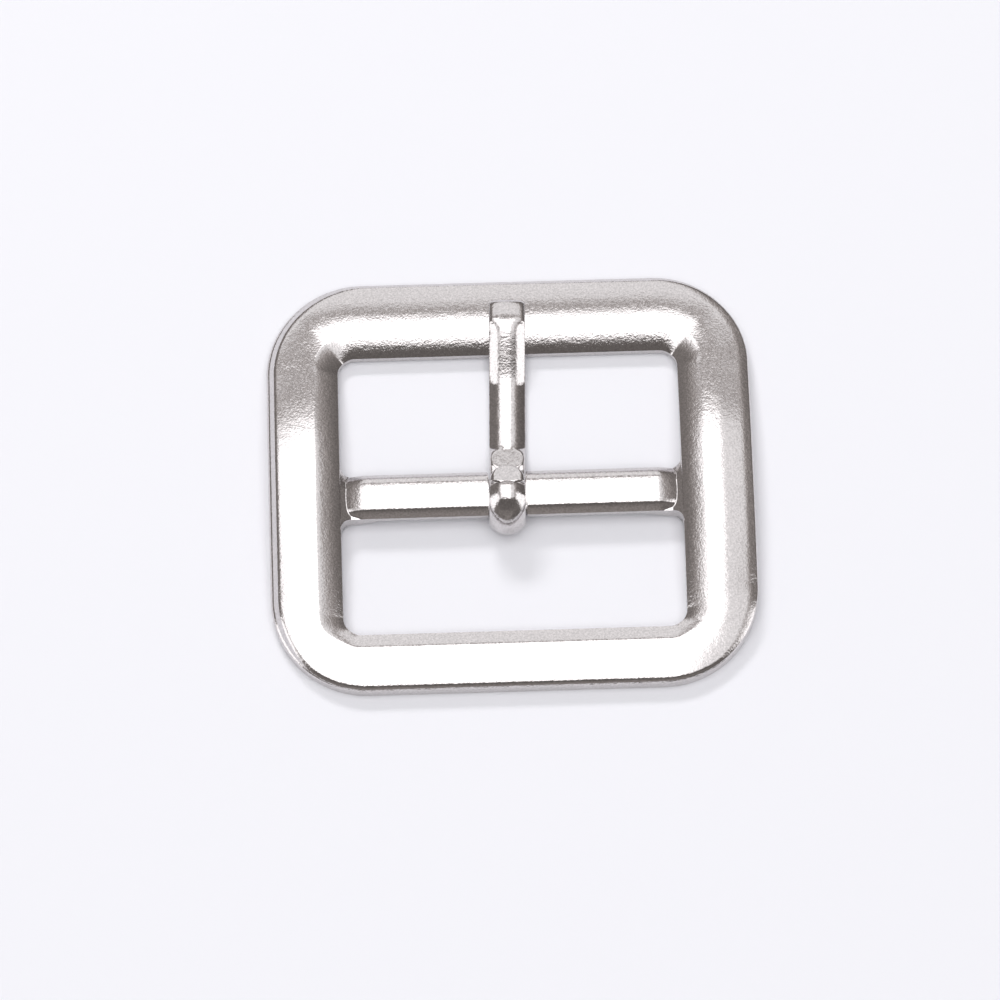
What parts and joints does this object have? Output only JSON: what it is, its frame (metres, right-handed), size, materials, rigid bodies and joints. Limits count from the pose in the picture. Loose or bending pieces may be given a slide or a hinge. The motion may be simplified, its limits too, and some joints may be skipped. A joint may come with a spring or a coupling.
{
  "type": "centre-bar buckle with tongue",
  "caption": "Pressed metal centre-bar buckle: a domed rounded-rectangle frame, hollow behind, with a half-round tongue that turns on the bar.",
  "frame": {"origin": "under the middle of the frame's outline, on the surface that the buckle rests on", "axes": "+X along the centre bar, +Y towards the tongue's tip, +Z out of the pressed face"},
  "size_m": [0.035, 0.031, 0.0044],
  "materials": {
    "pressed_nickel": "tumbled nickel plate with a fine pebbled grain",
    "wire_nickel": "smoother nickel plate on drawn half-round wire"
  },
  "bodies": {
    "frame": {"frame": "pressed_nickel"},
    "tongue": {"tongue": "wire_nickel"}
  },
  "joints": [
    {"name": "tongue_hinge", "type": "hinge", "parent": "frame", "child": "tongue", "pos_m": [-0.0003, -0.0014, 0.0019], "axis": [1, 0, 0], "range_deg": [0, 160]}
  ]
}
